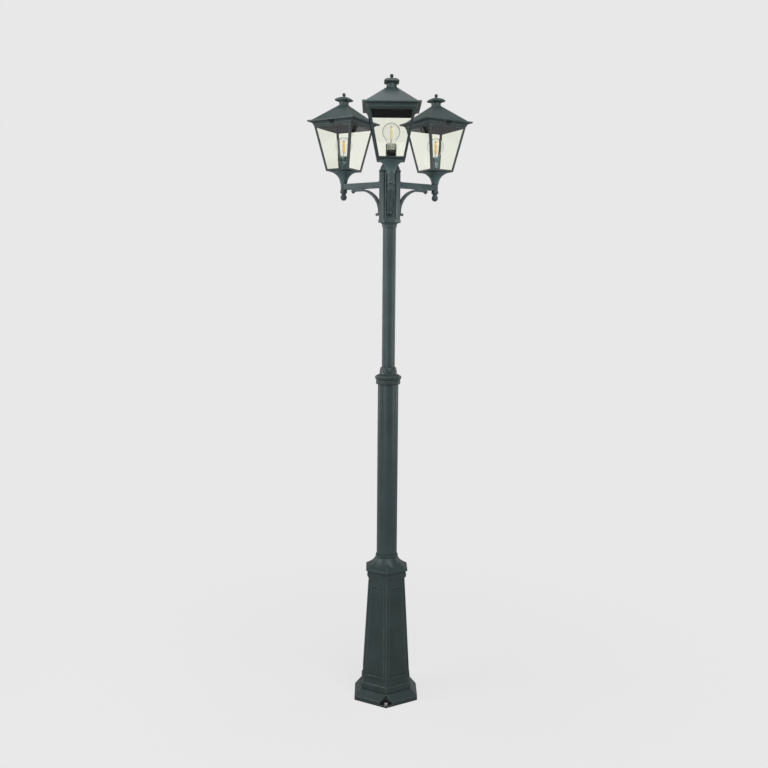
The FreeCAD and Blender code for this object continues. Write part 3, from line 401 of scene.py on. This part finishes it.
def makeEnvelope(arm):
    outer = bulbProfile(0)
    inner = bulbProfile(lamp["wall"])
    return atLantern(arm, turned(outer + inner[::-1] + outer[:1], 64))


def makeLampCap(arm):
    # screw cap: contact, rolled thread and a flared rim that grips the glass
    points = list(lamp["contact"])
    for turn in range(lamp["threadTurns"]):
        foot = lamp["threadFoot"] + turn * lamp["threadPitch"]
        points += [(radius, foot + height) for radius, height in lamp["thread"]]
    return atLantern(arm, turned(points + list(lamp["rim"]), 40))


def makeStem(arm):
    # pressed glass stem: wide in the cap, drawn thin, with a bead on top
    return atLantern(arm, turned(lamp["stem"], 28))


def stickEnds(index):
    aside = sideways(2 * math.pi * (index + 0.5) / lamp["sticks"])
    return (aside * lamp["stickSpreadFoot"] + upright(lamp["stickFoot"]),
            aside * lamp["stickSpreadHead"] + upright(lamp["stickHead"]))


def makeSticks(arm):
    # light-giving sticks: a row of chips under a yellow coating
    sticks = [rod(*stickEnds(index), lamp["stickThick"] / 2) for index in range(lamp["sticks"])]
    return atLantern(arm, joined("sticks", sticks))


def makeWires(arm):
    # leads that hold the sticks at their feet and join them at the top
    wires = []
    for index in range(lamp["sticks"]):
        foot, head = stickEnds(index)
        for start, end in ((upright(lamp["wireFoot"]), foot), (head, upright(lamp["wireHead"]))):
            wires.append(rod(start, end, lamp["wire"] / 2, lamp["wireSides"]))
    return atLantern(arm, joined("wires", wires))


holder = {  # mm from the socket's floor; the window is in the side that faces outwards
    "wide": 36, "wall": 1.4, "windowFoot": -15, "windowHalf": 60,  # the last in degrees
    "sides": 60,
    "sleeve": ((-20.5, 0), (-19, 0), (-15, 0), (0, 0), (10, 0), (11.2, -0.7), (12.4, 0), (27.6, 0),
               (28.8, -0.2), (30, -1.4)),  # height, and how far it swells there
    "core": ((0, -20.5), (11.5, -20.5), (11.5, -4), (12.1, -3), (14.4, -2.4), (15, -1.8), (15, 9), (14, 9),
             (14, 1), (0, -1)),
    "ring": ((14, 9), (15.7, 9), (16.5, 9.8), (16.5, 13), (15.9, 13.6), (15.9, 14.4), (16.5, 15),
             (16.5, 27.8), (16, 28.6), (15.1, 29), (14, 29), (14, 9)),
}


def makeSleeve(arm):
    # pressed metal sleeve, cut away on one side over the terminals and the porcelain ring
    sides = holder["sides"]
    work = bmesh.new()
    grid = []
    for height, swell in holder["sleeve"]:
        radius = mm(holder["wide"] / 2 + swell)
        grid.append([work.verts.new(sideways(2 * math.pi * i / sides) * radius + upright(mm(height)))
                     for i in range(sides)])
    for (height, _), low, high in zip(holder["sleeve"], grid, grid[1:]):
        for i in range(sides):
            middle = (i + 0.5) * 360 / sides
            if height >= holder["windowFoot"] and min(middle, 360 - middle) < holder["windowHalf"]:
                continue
            j = (i + 1) % sides
            work.faces.new((low[i], low[j], high[j], high[i])).smooth = True
    return atLantern(arm, meshFrom(work, "sleeve"))


def makeHolderCore(arm):
    # moulded body inside the sleeve, around the lamp's screw cap
    return atLantern(arm, turned(holder["core"], 48))


def makeHolderRing(arm):
    # porcelain ring that carries the lamp's rim, with rounded edges and a groove
    return atLantern(arm, turned(holder["ring"], 48))


def makeLamps():
    for arm in arms:
        envelope = newPiece(f"bulb_glass_{arm}", makeEnvelope(arm), blownGlass)
        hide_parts(f"lamp_{arm}")
        newPiece(f"bulb_cap_{arm}", makeLampCap(arm), brightCap)
        newPiece(f"bulb_stem_{arm}", makeStem(arm), blownGlass)
        newPiece(f"bulb_sticks_{arm}", makeSticks(arm), phosphor)
        newPiece(f"bulb_wires_{arm}", makeWires(arm), zincSteel)
        sleeve = newPiece(f"holder_sleeve_{arm}", makeSleeve(arm), sleeveMetal)
        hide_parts(f"lamp_holder_{arm}")
        thick = sleeve.modifiers.new("wall", "SOLIDIFY")
        thick.thickness = mm(holder["wall"])
        thick.offset = -1
        newPiece(f"holder_core_{arm}", makeHolderCore(arm), holderBody)
        newPiece(f"holder_ring_{arm}", makeHolderRing(arm), porcelain)


anchor = {  # mm from the ground; outlines are (radius, height) points
    "ring": 118, "across": 16, "headFoot": 8, "headTop": 14.4,
    "chamferIn": 0.8, "chamferUp": 0.6,  # shares of the hexagon's corner that stands past its flats
    "washer": ((0, 6.05), (9.7, 6.05), (10, 6.45), (10, 7.6), (9.6, 8), (0, 8)),
    "shank": ((0, 0.2), (4.6, 0.2), (5, 0.8), (5, 6.55), (0, 6.55)),
    "crown": ((6.72, 14.4), (4.8, 15.1), (0, 15.4)),
}


def hexHead():
    # hexagon with its corners chamfered as a turned head has
    flat = anchor["across"] / 2
    corner = flat / math.cos(math.radians(30))
    inwards, upwards = (anchor[key] * (corner - flat) for key in ("chamferIn", "chamferUp"))
    foot, top = anchor["headFoot"], anchor["headTop"]
    mesh = turned([(0, foot), (corner - inwards, foot), (corner, foot + upwards), (corner, top - upwards),
                   (corner - inwards, top), (0, top)], 6)
    for face in mesh.polygons:
        face.use_smooth = False
    return mesh


def makeAnchors():
    # hexagon-head anchor screw in each notch of the foot, on a washer, its shank in the hole
    for arm, direction in arms.items():
        mesh = joined("anchor", [turned(anchor["washer"], 40), hexHead(), turned(anchor["shank"], 24),
                                 turned(anchor["crown"], 24)])
        mesh.transform(Matrix.Translation(sideways(math.radians(direction)) * mm(anchor["ring"])))
        newPiece(f"anchor_bolt_{arm}", mesh, zincSteel)


setScrew = {
    "count": 3, "first": -131,  # the second is the direction of the first screw, degrees from +X
    "below": 21, "out": 32,     # mm below the collar's top, and out to the face of its neck
    "screw": ((0, -4), (3, -4), (3, 0.4), (2.5, 0.8), (1.5, 0.8), (1.5, -1.4), (0, -2)),
}


def makeSetScrews():
    # socket set screws that clamp the collar's neck on the upper shaft
    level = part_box("shaft_collar")[1].z - mm(setScrew["below"])
    for index in range(setScrew["count"]):
        outward = sideways(math.radians(setScrew["first"] + index * 360 / setScrew["count"]))
        spot = outward * mm(setScrew["out"]) + upright(level)
        mesh = turned(setScrew["screw"], 24)
        mesh.transform(Matrix.Translation(spot) @ turnedOutwards(outward))
        newPiece(f"set_screw_{index + 1}", mesh, zincSteel)


makeLamps()
makeAnchors()
makeSetScrews()
print("lamps, holders and fixings made")


backdrop = {
    "colour": "#e8e8e8",            # what the camera sees, also through glass
    "glossShare": 0.3,              # how much of it gloss and metal mirror
    "floor": "#e6e6e6",
    "floorHalf": 24, "gap": 0.5,    # metres each way, and mm that the floor lies below the foot
    "shade": 0.25, "lift": 1.13,    # share of the floor's own shade near the post, and its glow there
    "fade": (0.35, 1.9),            # metres over which that shade fades out
}

skyGlow = {
    "behindRight": {"azimuth": 30, "elevation": 10, "level": 0.4, "tightness": 5},
    "behindLeft": {"azimuth": 150, "elevation": 10, "level": 0.3, "tightness": 5},
    "front": {"azimuth": -90, "elevation": 5, "level": 0.4, "tightness": 20},
}


def aimedAt(azimuth, elevation):
    a, e = math.radians(azimuth), math.radians(elevation)
    return (math.cos(a) * math.cos(e), math.sin(a) * math.cos(e), math.sin(e))


def isSeen(tree):
    # how far a ray sees the plain backdrop: fully from the camera and through glass, partly in gloss, and
    # not once it has left a matt surface, so the backdrop never lights the post
    path = addNode(tree, "LightPath").outputs
    seen = maths(tree, "MAXIMUM", path["Is Camera Ray"], path["Is Transmission Ray"])
    seen = maths(tree, "MAXIMUM", seen, path["Is Glossy Ray"])
    kept = mapped(tree, path["Glossy Depth"], (0.0, 1.0), (1.0, backdrop["glossShare"]))
    fresh = maths(tree, "LESS_THAN", path["Diffuse Depth"], 0.5)
    return maths(tree, "MULTIPLY", maths(tree, "MULTIPLY", seen, kept), fresh)


def makeWorld():
    # wide pale reflectors round the studio, each a soft lobe of light
    world = bpy.data.worlds.new("studio")
    bpy.context.scene.world = world
    world.use_nodes = True
    tree = world.node_tree
    tree.nodes.clear()
    direction = addNode(tree, "TexCoord").outputs["Generated"]
    total = 0.0
    for lobe in skyGlow.values():
        toward = dotProduct(tree, direction, aimedAt(lobe["azimuth"], lobe["elevation"]))
        soft = maths(tree, "POWER", maths(tree, "MAXIMUM", toward, 0.0), lobe["tightness"])
        total = maths(tree, "ADD", total, maths(tree, "MULTIPLY", soft, lobe["level"]))
    light = addNode(tree, "Background", Strength=total)
    show = addNode(tree, "Background", Color=srgb(backdrop["colour"]), Strength=1.0)
    mix = addNode(tree, "MixShader", i0=isSeen(tree), i1=light.outputs[0], i2=show.outputs[0])
    addNode(tree, "OutputWorld", Surface=mix.outputs[0])


def makeFloor():
    # matt floor: its own shade shows near the post and gives way to the backdrop's tone further out
    material, tree = newMaterial("matt_studio_floor")
    place = addNode(tree, "TexCoord").outputs["Object"]
    away = addNode(tree, "VectorMath", {"operation": "LENGTH"}, i0=place).outputs["Value"]
    plain = mapped(tree, away, backdrop["fade"], (1 - backdrop["shade"], 1.0), "SMOOTHSTEP")
    lift = mapped(tree, away, backdrop["fade"], (backdrop["lift"], 1.0), "SMOOTHSTEP")
    matt = addNode(tree, "BsdfDiffuse", Color=srgb(backdrop["floor"]))
    glow = addNode(tree, "Emission", Color=srgb(backdrop["colour"]), Strength=lift)
    mix = addNode(tree, "MixShader", i0=maths(tree, "MULTIPLY", isSeen(tree), plain), i1=matt.outputs[0],
                  i2=glow.outputs[0])
    addNode(tree, "OutputMaterial", Surface=mix.outputs[0])
    half = backdrop["floorHalf"]
    mesh = bpy.data.meshes.new("floor")
    mesh.from_pydata([(-half, -half, 0), (half, -half, 0), (half, half, 0), (-half, half, 0)], [],
                     [(0, 1, 2, 3)])
    mesh.materials.append(material)
    floor = bpy.data.objects.new("floor", mesh)
    bpy.context.scene.collection.objects.link(floor)
    floor.location.z = -mm(backdrop["gap"])


lightAim = 1.95  # metres up the post, where the lanterns are
softboxes = {  # spread of a gridded box in degrees, 180 is open; "inside" lets its light in through the panes
    "overhead": {"azimuth": 0, "away": 0, "height": 4.6, "size": (2.0, 3.0), "watts": 24, "spread": 180},
    "frontTop": {"azimuth": -90, "away": 2.6, "height": 3.4, "size": (1.6, 1.6), "watts": 18, "spread": 180,
                 "inside": True},
    "rightFront": {"azimuth": -60, "away": 3, "height": 4.2, "size": (2.6, 2.6), "watts": 67, "spread": 180,
                   "inside": True},
    "leftSide": {"azimuth": -160, "away": 3.6, "height": 2.6, "size": (2.6, 2.6), "watts": 60, "spread": 180},
    "rightLow": {"azimuth": -22, "away": 2.8, "height": 1.4, "size": (1.8, 1.8), "watts": 2.8, "spread": 60},
    "leftLow": {"azimuth": -122, "away": 2.8, "height": 1.2, "size": (1.2, 1.2), "watts": 1.6, "spread": 60},
    "behindRight": {"azimuth": 27, "away": 3.2, "height": 1.5, "size": (1.8, 1.8), "watts": 4, "spread": 90},
    "behindLeft": {"azimuth": 153, "away": 3.2, "height": 1.5, "size": (1.8, 1.8), "watts": 4, "spread": 90},
}


def makeLights():
    # the boxes show in the gloss of metal and glass, but not to the camera
    for name, box in softboxes.items():
        light = bpy.data.lights.new(name, "AREA")
        light.shape = "RECTANGLE"
        light.size, light.size_y = box["size"]
        light.energy = box["watts"]
        light.spread = math.radians(box["spread"])
        stand = bpy.data.objects.new(name, light)
        bpy.context.scene.collection.objects.link(stand)
        stand.visible_camera = False
        stand.visible_transmission = box.get("inside", False)
        x, y, z = aimedAt(box["azimuth"], 0)
        stand.location = (x * box["away"], y * box["away"], box["height"])
        aim = upright(lightAim) - stand.location
        stand.rotation_euler = aim.to_track_quat("-Z", "Y").to_euler()


view = {
    "distance": 3.2393, "height": 1.5202,  # metres
    "azimuth": 0.98,  # degrees left of the front arm
    "turn": -0.27, "tilt": -5.9, "roll": 0.458,  # degrees
    "focalPixels": 881.6, "framePixels": 768, "sensor": 36,  # the sensor's width in mm
}


def makeCamera():
    # the pose was fitted to edges of the photograph
    data = bpy.data.cameras.new("camera")
    data.sensor_width = view["sensor"]
    data.lens = view["sensor"] * view["focalPixels"] / view["framePixels"]
    camera = bpy.data.objects.new("camera", data)
    bpy.context.scene.collection.objects.link(camera)
    turn, tilt, roll = (math.radians(view[key]) for key in ("turn", "tilt", "roll"))
    ahead = Vector((math.sin(turn) * math.cos(tilt), math.cos(turn) * math.cos(tilt), math.sin(tilt)))
    level = Vector((math.cos(turn), -math.sin(turn), 0))
    above = level.cross(ahead)
    right = math.cos(roll) * level + math.sin(roll) * above
    up = math.cos(roll) * above - math.sin(roll) * level
    pose = Matrix((right, up, -ahead)).transposed().to_4x4()
    pose.translation = Vector((0, -view["distance"], view["height"]))
    camera.matrix_world = Matrix.Rotation(-math.radians(view["azimuth"]), 4, "Z") @ pose
    bpy.context.scene.camera = camera


makeWorld()
makeFloor()
makeLights()
makeCamera()
bpy.context.scene.view_settings.view_transform = "Standard"
print("studio ready")
